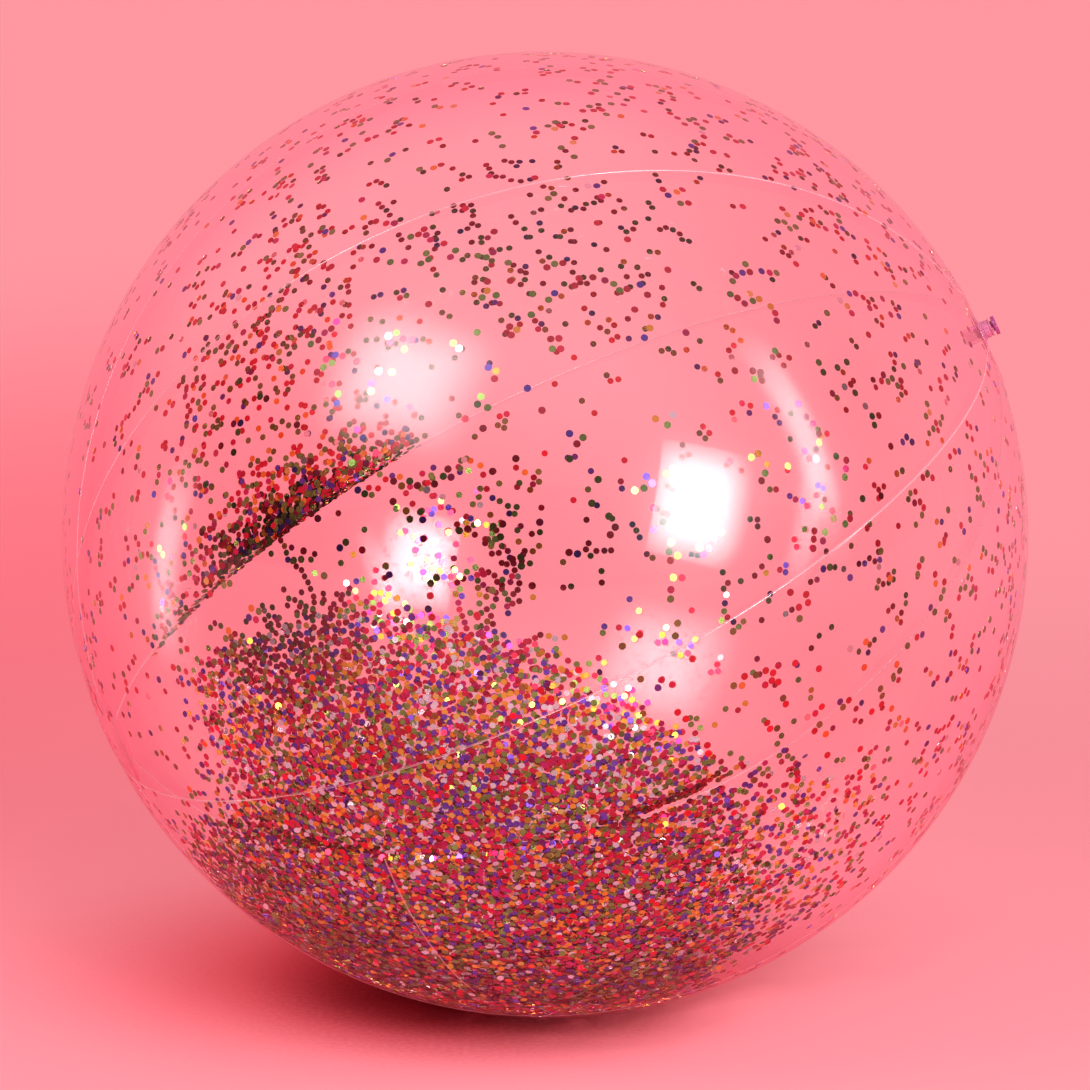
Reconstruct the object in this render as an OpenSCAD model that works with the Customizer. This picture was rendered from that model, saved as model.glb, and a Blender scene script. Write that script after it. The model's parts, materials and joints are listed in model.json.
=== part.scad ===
// Inflatable beach ball of clear film, filled with loose confetti dots.
// Millimetres, +Z up, origin in the middle of the flat patch that the ball rests on.
// The pole axis lies in the XZ plane and rises towards +X, the valve's end.

/* [Ball] */
// Diameter of the inflated ball
ball_d = 400; // [250:1:600]
// Thickness of the film
film_t = 0.3; // [0.2:0.05:0.6]
// Diameter of the patch that the ball's weight flattens on the floor
foot_d = 36; // [20:1:60]
// Rise of the pole axis above level, in degrees
pole_tilt = 25.4; // [0:0.1:50]
// Turn of the seams about the pole axis, in degrees
seam_turn = 38.2; // [20:0.1:45]
// Depth of the weld flange that each panel edge turns inwards
weld_depth = 5; // [3:0.5:10]

/* [End discs] */
// Diameter of the round disc at each pole
disc_d = 45; // [40:1:70]
// Width of the disc's weld on the panel tips
disc_lap = 7; // [4:0.5:9]

/* [Valve] */
// Outside diameter of the stem
stem_d = 7.4; // [6.5:0.1:9]
// Bore of the stem
stem_bore_d = 4.4; // [3.5:0.1:5]
// Height of the stem's mouth above the disc
stem_out = 4.6; // [3:0.1:8]
// Length of the stem inside the ball
stem_in = 7; // [5:0.5:14]
// Outside diameter of the flexible skirt around the stem
skirt_d = 14; // [12:0.1:17]
// Thickness of the skirt
skirt_t = 0.4; // [0.3:0.05:0.8]
// Height at which the skirt meets the stem, above the disc
skirt_rise = 1.2; // [0.8:0.1:2]
// Thickness of the welded flange
flange_t = 0.6; // [0.4:0.1:1.2]
// Space between the flange and the panel tips
flange_gap = 1.5; // [0.5:0.1:3]

/* [Stopper] */
// Diameter of the stopper's cap
cap_d = 8; // [6.5:0.1:10]
// Thickness of the cap
cap_t = 1.5; // [1:0.1:3]
// Neck that shows between the stem's mouth and the cap
cap_gap = 1; // [0.5:0.1:2]
// Length of the neck inside the bore
neck_in = 7; // [4:0.5:9]
// Width of the tether strap
strap_w = 3; // [2:0.1:4]
// Thickness of the tether strap
strap_t = 0.5; // [0.3:0.05:0.8]
// Radius of the strap's bend, at its middle
strap_bend = 2; // [1.6:0.1:2.4]
// Thickness of the one-way flap
flap_t = 0.4; // [0.3:0.05:0.8]
// Overlap of the flap on the stem's end, all round the bore
flap_lap = 0.8; // [0.5:0.1:1.2]
// Width of the flap's hinge
flap_hinge_w = 2.4; // [1.5:0.1:3]

/* [Confetti] */
// Diameter of a dot
dot_d = 3; // [2:0.1:4]
// Thickness of a dot
dot_t = 0.15; // [0.1:0.05:0.3]
// Places for dots over the whole wall
scatter_count = 200; // [60:1:400]
// Places for dots in the heap
heap_count = 300; // [60:1:500]
// Angle from the middle of the heap to its edge
heap_spread = 37; // [20:1:45]
// Angle of the heap's middle from the lowest point
heap_lean = 32; // [0:1:60]
// Direction in which the heap leans, about Z
heap_turn = 108; // [0:1:359]

/* [Fits] */
// Radial clearance of the neck in the bore
neck_fit = 0.05; // [0.02:0.01:0.1]
// Clearance where a soft piece meets the one that carries it
seat_fit = 0.05; // [0.03:0.01:0.1]
// Clearance of a dot from the film
dot_fit = 0.15; // [0.1:0.05:0.3]

/* [Hidden] */
$fn = 96;
// Facets of the ball in a preview
ball_facets = 240;

film_colour = [0.93, 0.72, 0.84, 0.35];
disc_colour = [0.88, 0.66, 0.82, 0.45];
valve_colour = [0.45, 0.20, 0.55, 0.85];

panel_count = 6;
panel_angle = 360 / panel_count;
ball_r = ball_d / 2;
foot_r = foot_d / 2;
disc_r = disc_d / 2;
// Height of the ball's centre over the flattened foot
centre_h = sqrt(ball_r * ball_r - foot_r * foot_r);
// Distance from the centre to the flat at each pole
pole_h = sqrt(ball_r * ball_r - disc_r * disc_r);
// Turn from +Z to the pole axis, about Y
axis_lean = 90 - pole_tilt;
// Radius of the opening that the panel tips leave at each pole
tip_r = disc_r - disc_lap;

stem_r = stem_d / 2;
bore_r = stem_bore_d / 2;
skirt_r = skirt_d / 2;
flange_r = tip_r - flange_gap;
flange_top = -film_t;
flange_low = flange_top - flange_t;
// Cut edge of a moulded rim
rim_cut = 0.3;
cap_r = cap_d / 2;
cap_low = stem_out + cap_gap;
neck_r = bore_r - neck_fit;
// Lead at the end of the neck
neck_lead = 0.8;
strap_mid_z = cap_low + cap_t / 2 - strap_bend;
flap_r = bore_r + flap_lap;
flap_top = -stem_in - seat_fit;
flap_axis_z = flap_top - flap_t / 2;

dot_r = dot_d / 2;
// Radius at which a dot's outer face lies, and the height of that face over the foot
dot_wall_r = ball_r - film_t - dot_fit;
dot_floor = film_t + dot_fit - centre_h;
// Radius at which a dot passes from the curved wall to the flat foot
dot_foot_r = sqrt(dot_wall_r * dot_wall_r - dot_floor * dot_floor);
golden_angle = 180 * (3 - sqrt(5));
// Order in which the colours follow each other along the spiral of dots
dot_order = [
    "red", "green", "orange", "red", "blue", "magenta", "gold", "red", "silver", "green", "orange"
];

// Puts children, drawn about the pole axis as Z, into the ball
module on_axis() {
    translate([0, 0, centre_h])
        rotate([0, axis_lean, 0])
            children();
}

// Puts children on the outer face of the valve's disc
module at_valve() {
    on_axis()
        translate([0, 0, pole_h + film_t])
            children();
}

// The ball's outside drawn in by inset: a sphere, flat at the foot and at both poles
module form(inset) {
    difference() {
        rotate([0, 0, 180])
            sphere(r = ball_r - inset, $fn = ball_facets);
        rotate([0, -axis_lean, 0])
            translate([0, 0, inset - centre_h - ball_r])
                cube(2 * ball_r, center = true);
        for (side = [0, 180])
            rotate([side, 0, 0])
                translate([0, 0, pole_h - inset])
                    cylinder(r = ball_r, h = ball_r);
    }
}

// The space of one panel between its two seam planes, drawn in by inset from both
module wedge(index, inset) {
    half = panel_angle / 2;
    reach = 2 * ball_r;
    rotate([0, 0, seam_turn - half + index * panel_angle])
        translate([inset / sin(half), 0, 0])
            linear_extrude(height = 3 * ball_r, center = true)
                polygon([
                    [0, 0],
                    [reach * cos(half), -reach * sin(half)],
                    [reach * cos(half), reach * sin(half)]
                ]);
}

// One film panel with its two weld flanges
module panel(index) {
    color(film_colour)
        on_axis()
            difference() {
                intersection() {
                    form(0);
                    wedge(index, 0);
                }
                intersection() {
                    form(film_t);
                    wedge(index, film_t);
                }
                form(film_t + weld_depth);
                cylinder(r = tip_r, h = 3 * ball_r, center = true);
            }
}

module bottom_panel() {
    panel(0);
}

module lower_back_panel() {
    panel(1);
}

module upper_back_panel() {
    panel(2);
}

module top_panel() {
    panel(3);
}

module upper_front_panel() {
    panel(4);
}

module lower_front_panel() {
    panel(5);
}

module end_disc() {
    color(disc_colour)
        on_axis()
            translate([0, 0, -pole_h - film_t])
                cylinder(r = disc_r, h = film_t);
}

module valve_disc() {
    color(disc_colour)
        at_valve()
            difference() {
                translate([0, 0, -film_t])
                    cylinder(r = disc_r, h = film_t);
                cylinder(r = skirt_r, h = 3 * film_t, center = true);
            }
}

module valve_flange() {
    color(valve_colour)
        at_valve()
            difference() {
                translate([0, 0, flange_low])
                    cylinder(r = flange_r, h = flange_t);
                translate([0, 0, flange_low])
                    cylinder(r = skirt_r, h = 3 * flange_t, center = true);
            }
}

// A cone from the flange's inner edge up to the stem, which turns inside out as the stem goes in
module valve_skirt() {
    color(valve_colour)
        at_valve()
            rotate_extrude()
                polygon([
                    [skirt_r, flange_low],
                    [skirt_r, flange_low + skirt_t],
                    [stem_r + seat_fit, skirt_rise],
                    [stem_r + seat_fit, skirt_rise - skirt_t]
                ]);
}

module valve_stem() {
    color(valve_colour)
        at_valve()
            rotate_extrude()
                polygon([
                    [bore_r, -stem_in],
                    [stem_r, -stem_in],
                    [stem_r, stem_out - rim_cut],
                    [stem_r - rim_cut, stem_out],
                    [bore_r, stem_out]
                ]);
}

module valve_plug() {
    color(valve_colour)
        at_valve()
            rotate_extrude()
                polygon([
                    [0, stem_out - neck_in],
                    [neck_r - neck_lead / 2, stem_out - neck_in],
                    [neck_r, stem_out - neck_in + neck_lead],
                    [neck_r, cap_low],
                    [cap_r, cap_low],
                    [cap_r, cap_low + cap_t - rim_cut],
                    [cap_r - rim_cut, cap_low + cap_t],
                    [0, cap_low + cap_t]
                ]);
}

// A strap bent from the cap's rim round to the side of the stem, away from the viewer's side
module valve_strap() {
    bend_y = max(stem_r, cap_r);
    color(valve_colour)
        at_valve()
            difference() {
                rotate([90, 0, 90])
                    linear_extrude(height = strap_w, center = true)
                        union() {
                            difference() {
                                translate([bend_y, strap_mid_z])
                                    circle(r = strap_bend + strap_t / 2);
                                translate([bend_y, strap_mid_z])
                                    circle(r = strap_bend - strap_t / 2);
                                translate([bend_y - 2 * strap_bend, strap_mid_z - 2 * strap_bend])
                                    square([2 * strap_bend, 4 * strap_bend]);
                            }
                            for (side = [-1, 1])
                                translate([0, strap_mid_z + side * strap_bend - strap_t / 2])
                                    square([bend_y, strap_t]);
                        }
                translate([0, 0, cap_low - cap_gap / 2])
                    cylinder(r = cap_r + seat_fit, h = 3 * cap_t);
                translate([0, 0, -stem_in])
                    cylinder(r = stem_r + seat_fit, h = stem_in + stem_out + cap_gap / 2);
            }
}

// A round flap under the stem's end, hinged at the stem's outer wall
module check_flap() {
    color(valve_colour)
        at_valve() {
            translate([0, 0, flap_top - flap_t])
                cylinder(r = flap_r, h = flap_t);
            translate([-flap_hinge_w / 2, 0, flap_top - flap_t])
                cube([flap_hinge_w, stem_r, flap_t]);
            translate([0, stem_r, flap_axis_z])
                rotate([0, 90, 0])
                    cylinder(d = flap_t, h = flap_hinge_w, center = true);
        }
}

// Direction of one place on a spiral that covers a cap of the given half angle about +Z
function spiral_place(index, count, spread) =
    let (rise = 1 - (1 - cos(spread)) * (index + 0.5) / count)
    let (out = sqrt(1 - rise * rise))
    let (turn = index * golden_angle)
    [out * cos(turn), out * sin(turn), rise];

// A direction leaned from +Z and then turned about Z
function leaned(dir, lean, turn) =
    let (x = dir.x * cos(lean) + dir.z * sin(lean))
    let (z = dir.z * cos(lean) - dir.x * sin(lean))
    [x * cos(turn) - dir.y * sin(turn), x * sin(turn) + dir.y * cos(turn), z];

// A direction as seen with the pole axis as Z
function from_axis(dir) = leaned(dir, -axis_lean, 0);

// Distance of a dot's middle from the nearest seam plane
function seam_distance(dir) =
    let (own = from_axis(dir))
    let (turned = atan2(own.y, own.x) - seam_turn + 360)
    let (past = turned - panel_angle * floor(turned / panel_angle))
    dot_wall_r * norm([own.x, own.y]) * sin(min(past, panel_angle - past));

// Distance of a dot's middle from the pole axis
function axis_distance(dir) =
    let (own = from_axis(dir))
    dot_wall_r * norm([own.x, own.y]);

// A dot needs room beside the weld flanges, the end discs and the edge of the foot
function has_room(dir) =
    seam_distance(dir) > film_t + dot_r + dot_fit
    && axis_distance(dir) > disc_r + dot_r + dot_fit
    && abs(dot_wall_r * norm([dir.x, dir.y]) - dot_foot_r) > dot_r + dot_fit;

heap_dir = leaned([0, 0, 1], 180 - heap_lean, heap_turn);
// The scatter stays a dot's width outside the heap
heap_edge = heap_spread + 2 * asin(dot_d / ball_r);

heap_places = [
    for (index = [0 : heap_count - 1])
        leaned(spiral_place(index, heap_count, heap_spread), 180 - heap_lean, heap_turn)
];
scatter_places = [
    for (index = [0 : scatter_count - 1])
        let (dir = spiral_place(index, scatter_count, 180))
        if (dir * heap_dir < cos(heap_edge))
            dir
];
dot_places = [
    for (dir = concat(heap_places, scatter_places))
        if (has_room(dir))
            dir
];

// One dot lying on the inside of the film, flat on the foot or against the curved wall
module dot(dir) {
    on_foot = dot_wall_r * dir.z < dot_floor;
    place = dot_wall_r * dir;
    translate([place.x, place.y, centre_h + (on_foot ? dot_floor : place.z)])
        rotate([0, on_foot ? 0 : acos(-dir.z), atan2(-dir.y, -dir.x)])
            cylinder(d = dot_d, h = dot_t);
}

// All dots of one colour
module confetti(name) {
    for (index = [0 : len(dot_places) - 1])
        if (dot_order[index % len(dot_order)] == name)
            dot(dot_places[index]);
}

module confetti_red() {
    color("crimson")
        confetti("red");
}

module confetti_magenta() {
    color("mediumvioletred")
        confetti("magenta");
}

module confetti_orange() {
    color("darkorange")
        confetti("orange");
}

module confetti_gold() {
    color("gold")
        confetti("gold");
}

module confetti_green() {
    color("olivedrab")
        confetti("green");
}

module confetti_blue() {
    color("slateblue")
        confetti("blue");
}

module confetti_silver() {
    color("lavender")
        confetti("silver");
}

bottom_panel();
lower_back_panel();
upper_back_panel();
top_panel();
upper_front_panel();
lower_front_panel();
end_disc();
valve_disc();
valve_flange();
valve_skirt();
valve_stem();
valve_plug();
valve_strap();
check_flap();
confetti_red();
confetti_magenta();
confetti_orange();
confetti_gold();
confetti_green();
confetti_blue();
confetti_silver();
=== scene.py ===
import json
import math
import random

import bmesh
import bpy
from mathutils import Matrix, Vector, noise


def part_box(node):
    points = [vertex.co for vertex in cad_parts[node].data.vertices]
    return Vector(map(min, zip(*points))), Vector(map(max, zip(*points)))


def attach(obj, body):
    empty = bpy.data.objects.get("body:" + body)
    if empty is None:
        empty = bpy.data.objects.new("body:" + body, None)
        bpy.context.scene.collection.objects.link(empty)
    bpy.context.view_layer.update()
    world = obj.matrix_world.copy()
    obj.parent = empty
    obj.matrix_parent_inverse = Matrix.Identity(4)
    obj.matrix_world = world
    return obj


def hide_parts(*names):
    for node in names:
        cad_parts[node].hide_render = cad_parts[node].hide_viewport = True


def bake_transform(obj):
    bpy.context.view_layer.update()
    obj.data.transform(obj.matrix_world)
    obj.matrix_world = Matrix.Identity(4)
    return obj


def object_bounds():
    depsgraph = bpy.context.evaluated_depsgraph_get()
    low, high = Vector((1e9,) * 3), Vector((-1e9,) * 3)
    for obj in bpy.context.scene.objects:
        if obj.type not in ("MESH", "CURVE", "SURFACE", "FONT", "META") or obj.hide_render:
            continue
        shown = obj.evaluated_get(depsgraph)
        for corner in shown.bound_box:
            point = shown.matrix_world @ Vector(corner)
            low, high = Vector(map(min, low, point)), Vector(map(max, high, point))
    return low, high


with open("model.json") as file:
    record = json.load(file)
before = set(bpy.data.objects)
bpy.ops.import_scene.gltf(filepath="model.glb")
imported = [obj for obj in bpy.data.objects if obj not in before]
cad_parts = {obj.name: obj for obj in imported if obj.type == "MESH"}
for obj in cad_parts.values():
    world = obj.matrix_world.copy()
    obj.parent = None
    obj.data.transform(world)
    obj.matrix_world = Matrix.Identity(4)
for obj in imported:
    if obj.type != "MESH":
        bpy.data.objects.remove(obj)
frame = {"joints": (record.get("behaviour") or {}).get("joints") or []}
cadLow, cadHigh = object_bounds()
scene = bpy.context.scene
scene.view_settings.view_transform = "Standard"
scene.cycles.transparent_max_bounces = 64  # a ray passes many layers of film
mm = 0.001
print("frame loaded, CAD box", list(cadLow), list(cadHigh))


# The ball's own frame, with Z along the pole axis towards the valve
def halfWidth(node):
    low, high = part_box(node)
    return (high.y - low.y) / 2


poleAxis = Vector(next(j["axis"] for j in frame["joints"] if j["name"] == "plug_pull")).normalized()
ballRadius = (cadHigh.y - cadLow.y) / 2
ballCentre = Vector((0, 0, cadHigh.z - ballRadius))
discRadius = halfWidth("end_disc")
poleHeight = math.sqrt(ballRadius ** 2 - discRadius ** 2)
sideAxis = Vector((0, 1, 0))
ballFrame = Matrix((sideAxis.cross(poleAxis), sideAxis, poleAxis)).transposed().to_4x4()
ballFrame.translation = ballCentre
panelCount = 6
panelAngle = 2 * math.pi / panelCount
seamTurn = math.radians(38.2)  # first seam, about the pole axis
filmGauge = 0.3 * mm
weldDepth = 5 * mm  # how far the weld flanges stand into the ball
touch = 0.01 * mm  # nearer than this counts as on a plane
mergeReach = 0.002 * mm
ballFromWorld = ballFrame.to_3x3().transposed()


def wallDirection(lean, turn):  # degrees from the lowest point, and about Z
    lean, turn = math.radians(lean), math.radians(turn)
    return Vector((math.sin(lean) * math.cos(turn), math.sin(lean) * math.sin(turn), -math.cos(lean)))


# Camera
cameraView = {
    "elevation": 11.14,  # degrees above the floor
    "distance": 2.258,  # from the middle of the ball
    "lens": 179.6,
    "aimDrop": 4.2 * mm,  # the view's middle lies this far under the ball's
}


def addCamera(look):
    rise = math.radians(look["elevation"])
    towards = Vector((0, -math.cos(rise), math.sin(rise)))
    viewUp = Vector((0, math.sin(rise), math.cos(rise)))
    data = bpy.data.cameras.new("photoCamera")
    data.lens = look["lens"]
    data.clip_end = 60
    camera = bpy.data.objects.new("photoCamera", data)
    scene.collection.objects.link(camera)
    camera.location = ballCentre + towards * look["distance"]
    aim = ballCentre - viewUp * look["aimDrop"]
    camera.rotation_euler = (aim - camera.location).to_track_quat("-Z", "Y").to_euler()
    scene.camera = camera


addCamera(cameraView)
print("camera placed")


# Node helpers
def startMaterial(name):
    material = bpy.data.materials.new(name)
    material.use_nodes = True
    tree = material.node_tree
    tree.nodes.clear()
    return material, tree, tree.nodes.new("ShaderNodeOutputMaterial")


def addNode(tree, kind, inputs=None, **settings):
    made = tree.nodes.new(kind)
    for key, value in settings.items():
        setattr(made, key, value)
    for key, value in (inputs or {}).items():
        if isinstance(value, bpy.types.NodeSocket):
            tree.links.new(value, made.inputs[key])
        else:
            made.inputs[key].default_value = value
    return made


def addMath(tree, operation, *values):
    return addNode(tree, "ShaderNodeMath", dict(enumerate(values)), operation=operation).outputs[0]


def mixColours(tree, share, first, second):
    made = addNode(tree, "ShaderNodeMix", {0: share, 6: first, 7: second}, data_type="RGBA")
    return made.outputs[2]


def objectNoise(tree, scale, detail=3.0):
    place = addNode(tree, "ShaderNodeTexCoord").outputs["Object"]
    return addNode(tree, "ShaderNodeTexNoise", {"Vector": place, "Scale": scale, "Detail": detail}).outputs[0]


def smoothRange(tree, value, start, end):
    return addNode(tree, "ShaderNodeMapRange", {"Value": value, "From Min": start, "From Max": end},
                   interpolation_type="SMOOTHSTEP").outputs[0]


# Clear film: a see-through sheet with a Fresnel gloss, its tint deepening towards the ball's edge
clearFilm = {
    "faceTint": (1.0, 0.998, 0.999, 1),
    "hazeTint": (0.993, 0.955, 0.965, 1),
    "edgeTint": (0.992, 0.85, 0.905, 1),
    "edgeStart": 0.40,  # how far the film turns from the eye, where its tint deepens
    "edgeEnd": 0.68,
    "sideShadeTint": (0.988, 0.88, 0.90, 1),  # painted shade: a deeper tint towards the valve's side
    "sideShadeStart": 10 * mm,
    "sideShadeEnd": 115 * mm,
    "faceGloss": 0.06,  # mirrored share, looking straight at the film
    "edgeGloss": 0.5,  # the same, looking along it
    "sharpRoughness": 0.045,
    "softRoughness": 0.26,
    "softShare": 0.3,
    "hazeScale": 9.0,
}
discFilm = dict(clearFilm, faceTint=(0.985, 0.95, 0.975, 1), hazeTint=(0.97, 0.92, 0.955, 1))
weldBond = {"clear": (1.0, 0.998, 0.999, 1), "clouded": (0.995, 0.98, 0.985, 1), "cloudScale": 60.0,
            "milk": 0.0, "milkColour": (0.98, 0.60, 0.66, 1), "gloss": 0.0, "roughness": 0.2}
weldBead = dict(weldBond, clear=(0.97, 0.88, 0.91, 1), clouded=(0.93, 0.80, 0.85, 1), cloudScale=90.0,
                milk=0.42, gloss=0.18)


def filmMaterial(name, look):
    material, tree, output = startMaterial(name)
    facing = addNode(tree, "ShaderNodeLayerWeight", {"Blend": 0.5}).outputs["Facing"]
    outside = addMath(tree, "SUBTRACT", 1.0, addNode(tree, "ShaderNodeNewGeometry").outputs["Backfacing"])
    edgeOn = addMath(tree, "MULTIPLY", addMath(tree, "POWER", facing, 5.0),
                     addMath(tree, "MULTIPLY", outside, look["edgeGloss"]))
    haze = objectNoise(tree, look["hazeScale"], 1.0)
    flatTint = mixColours(tree, haze, look["faceTint"], look["hazeTint"])
    # painted shade: the film's tint deepens towards the valve's side
    place = addNode(tree, "ShaderNodeTexCoord").outputs["Object"]
    aside = addNode(tree, "ShaderNodeSeparateXYZ", {0: place}).outputs["X"]
    flatTint = mixColours(tree, smoothRange(tree, aside, look["sideShadeStart"], look["sideShadeEnd"]),
                          flatTint, look["sideShadeTint"])
    tint = mixColours(tree, smoothRange(tree, facing, look["edgeStart"], look["edgeEnd"]),
                      flatTint, look["edgeTint"])
    clear = addNode(tree, "ShaderNodeBsdfTransparent", {"Color": tint})
    sharp, soft = [addNode(tree, "ShaderNodeBsdfAnisotropic", {
        "Color": (look["faceGloss"],) * 3 + (1,), "Roughness": look[key]}).outputs[0]
        for key in ("sharpRoughness", "softRoughness")]
    gloss = addNode(tree, "ShaderNodeMixShader", {0: look["softShare"], 1: sharp, 2: soft})
    face = addNode(tree, "ShaderNodeAddShader", {0: clear.outputs[0], 1: gloss.outputs[0]})
    edge = addNode(tree, "ShaderNodeBsdfAnisotropic", {"Roughness": look["softRoughness"]})
    film = addNode(tree, "ShaderNodeMixShader", {0: edgeOn, 1: face.outputs[0], 2: edge.outputs[0]})
    tree.links.new(film.outputs[0], output.inputs["Surface"])
    return material


# Weld flanges, where two films are bonded and show little, and the glossier beads along their folds
def weldMaterial(name, look):
    material, tree, output = startMaterial(name)
    cloud = objectNoise(tree, look["cloudScale"], 1.0)
    clear = addNode(tree, "ShaderNodeBsdfTransparent", {
        "Color": mixColours(tree, cloud, look["clear"], look["clouded"])})
    milk = addNode(tree, "ShaderNodeBsdfDiffuse", {"Color": look["milkColour"]})
    cloudy = addNode(tree, "ShaderNodeMixShader", {0: look["milk"], 1: clear.outputs[0], 2: milk.outputs[0]})
    gloss = addNode(tree, "ShaderNodeBsdfAnisotropic", {"Roughness": look["roughness"]})
    weld = addNode(tree, "ShaderNodeMixShader", {0: look["gloss"], 1: cloudy.outputs[0], 2: gloss.outputs[0]})
    tree.links.new(weld.outputs[0], output.inputs["Surface"])
    return material


# Soft violet vinyl of the valve, deeper on the stopper than on the thin stem
stopperVinyl = {
    "deep": (0.36, 0.04, 0.19, 1),
    "pale": (0.46, 0.08, 0.28, 1),
    "mottleScale": 260.0,
    "grainScale": 1500.0,
    "roughness": 0.28,
    "transmission": 0.1,
    "innerClear": 0.75,  # how clear the thin inner end is, and from where, above the disc
    "clearFrom": 5.6 * mm,
    "clearFade": 0.5 * mm,
    "clearTint": (0.98, 0.93, 0.96, 1),
    "grainStrength": 0.12,
    "grainHeight": 0.1 * mm,
}
stemVinyl = dict(stopperVinyl, deep=(0.58, 0.14, 0.28, 1), pale=(0.70, 0.23, 0.39, 1), transmission=0.12,
                 innerClear=0.9, clearFrom=0)


def vinylMaterial(name, look):
    material, tree, output = startMaterial(name)
    place = addNode(tree, "ShaderNodeTexCoord").outputs["Object"]
    along = addNode(tree, "ShaderNodeVectorMath", {0: place, 1: poleAxis},
                    operation="DOT_PRODUCT").outputs["Value"]
    level = poleHeight + filmGauge + ballCentre.dot(poleAxis) + look["clearFrom"]
    thin = smoothRange(tree, along, level, level - look["clearFade"])
    inner = addMath(tree, "MULTIPLY", thin, look["innerClear"])
    colour = mixColours(tree, objectNoise(tree, look["mottleScale"]), look["deep"], look["pale"])
    grain = objectNoise(tree, look["grainScale"])
    bump = addNode(tree, "ShaderNodeBump", {
        "Strength": look["grainStrength"], "Distance": look["grainHeight"], "Height": grain})
    vinyl = addNode(tree, "ShaderNodeBsdfPrincipled", {
        "Base Color": colour, "Roughness": look["roughness"], "IOR": 1.5,
        "Transmission Weight": look["transmission"], "Normal": bump.outputs[0]})
    clear = addNode(tree, "ShaderNodeBsdfTransparent", {"Color": look["clearTint"]})
    mixed = addNode(tree, "ShaderNodeMixShader", {0: inner, 1: vinyl.outputs[0], 2: clear.outputs[0]})
    tree.links.new(mixed.outputs[0], output.inputs["Surface"])
    return material


# Metallic foil of the confetti, with a tint of its own on each dot
foilLook = {"roughness": 0.16, "crinkleScale": 700.0, "crinkleStrength": 0.12,
            "crinkleHeight": 0.1 * mm, "metal": 0.98, "lacquer": 0.35}
zoneLooks = {"Wall": foilLook, "Heap": dict(foilLook, metal=0.87, lacquer=0.15)}  # the heap's copies of the same foils mirror less, so they show their colour lit by the lamps where the wall's copies show the dark room: lit and shaded copies of one foil
foilColours = {
    "red": ((0.45, 0.005, 0.024, 1), (0.69, 0.016, 0.066, 1)),
    "magenta": ((0.40, 0.005, 0.08, 1), (0.61, 0.02, 0.17, 1)),
    "orange": ((0.72, 0.25, 0.016, 1), (0.85, 0.44, 0.046, 1)),
    "gold": ((0.66, 0.48, 0.08, 1), (0.80, 0.64, 0.20, 1)),
    "green": ((0.12, 0.205, 0.03, 1), (0.24, 0.36, 0.073, 1)),
    "blue": ((0.073, 0.028, 0.31, 1), (0.146, 0.066, 0.50, 1)),
    "silver": ((0.66, 0.61, 0.64, 1), (0.85, 0.81, 0.82, 1)),
}


def foilMaterial(name, colours, look):
    material, tree, output = startMaterial(name)
    tint = addNode(tree, "ShaderNodeAttribute", attribute_name="dotTint").outputs["Fac"]
    crinkle = objectNoise(tree, look["crinkleScale"])
    bump = addNode(tree, "ShaderNodeBump", {
        "Strength": look["crinkleStrength"], "Distance": look["crinkleHeight"], "Height": crinkle})
    foil = addNode(tree, "ShaderNodeBsdfPrincipled", {
        "Base Color": mixColours(tree, tint, colours[0], colours[1]), "Metallic": look["metal"],
        "Roughness": look["roughness"], "Coat Weight": look["lacquer"], "Coat Roughness": look["roughness"],
        "Normal": bump.outputs[0]})
    tree.links.new(foil.outputs[0], output.inputs["Surface"])
    return material


clearFilmMaterial = filmMaterial("clearFilm", clearFilm)
weldBondMaterial = weldMaterial("weldBond", weldBond)
weldBeadMaterial = weldMaterial("weldBead", weldBead)
discFilmMaterial = filmMaterial("discFilm", discFilm)
stopperVinylMaterial = vinylMaterial("stopperVinyl", stopperVinyl)
stemVinylMaterial = vinylMaterial("stemVinyl", stemVinyl)
foilMaterials = {(name, zone): foilMaterial(name + zone + "Foil", pair, look)
                 for name, pair in foilColours.items() for zone, look in zoneLooks.items()}
print("materials made")


# Piece helpers
def makePiece(bm, name, material, place):
    bmesh.ops.transform(bm, matrix=place, verts=bm.verts)
    mesh = bpy.data.meshes.new(name)
    bm.to_mesh(mesh)
    bm.free()
    mesh.materials.append(material)
    mesh.shade_smooth()
    piece = bpy.data.objects.new(name, mesh)
    scene.collection.objects.link(piece)
    return piece


def faceOutwards(bm):
    bmesh.ops.recalc_face_normals(bm, faces=bm.faces)
    bm.normal_update()
    if sum(face.normal.dot(face.calc_center_median()) * face.calc_area() for face in bm.faces) < 0:
        bmesh.ops.reverse_faces(bm, faces=bm.faces)


def turnProfile(points, closed=True, steps=64):
    bm = bmesh.new()
    ring = [bm.verts.new((radius, 0, height)) for radius, height in points]
    for first, second in zip(ring, ring[1:]):
        bm.edges.new((first, second))
    if closed:
        bm.edges.new((ring[-1], ring[0]))
    bmesh.ops.spin(bm, geom=bm.verts[:] + bm.edges[:], cent=(0, 0, 0), axis=(0, 0, 1),
                   angle=2 * math.pi, steps=steps, use_merge=True)
    bmesh.ops.remove_doubles(bm, verts=bm.verts, dist=mergeReach)
    bmesh.ops.recalc_face_normals(bm, faces=bm.faces)
    return bm


def bevelRound(bm, edges, offset):
    return bmesh.ops.bevel(bm, geom=edges, offset=offset, offset_type="OFFSET", affect="EDGES", segments=3,
                           profile=0.5, material=-1, clamp_overlap=True)


def roundEdges(bm, offset, fromAngle=30):
    bevelRound(bm, [edge for edge in bm.edges if len(edge.link_faces) == 2
                    and edge.calc_face_angle() > math.radians(fromAngle)], offset)


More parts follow.
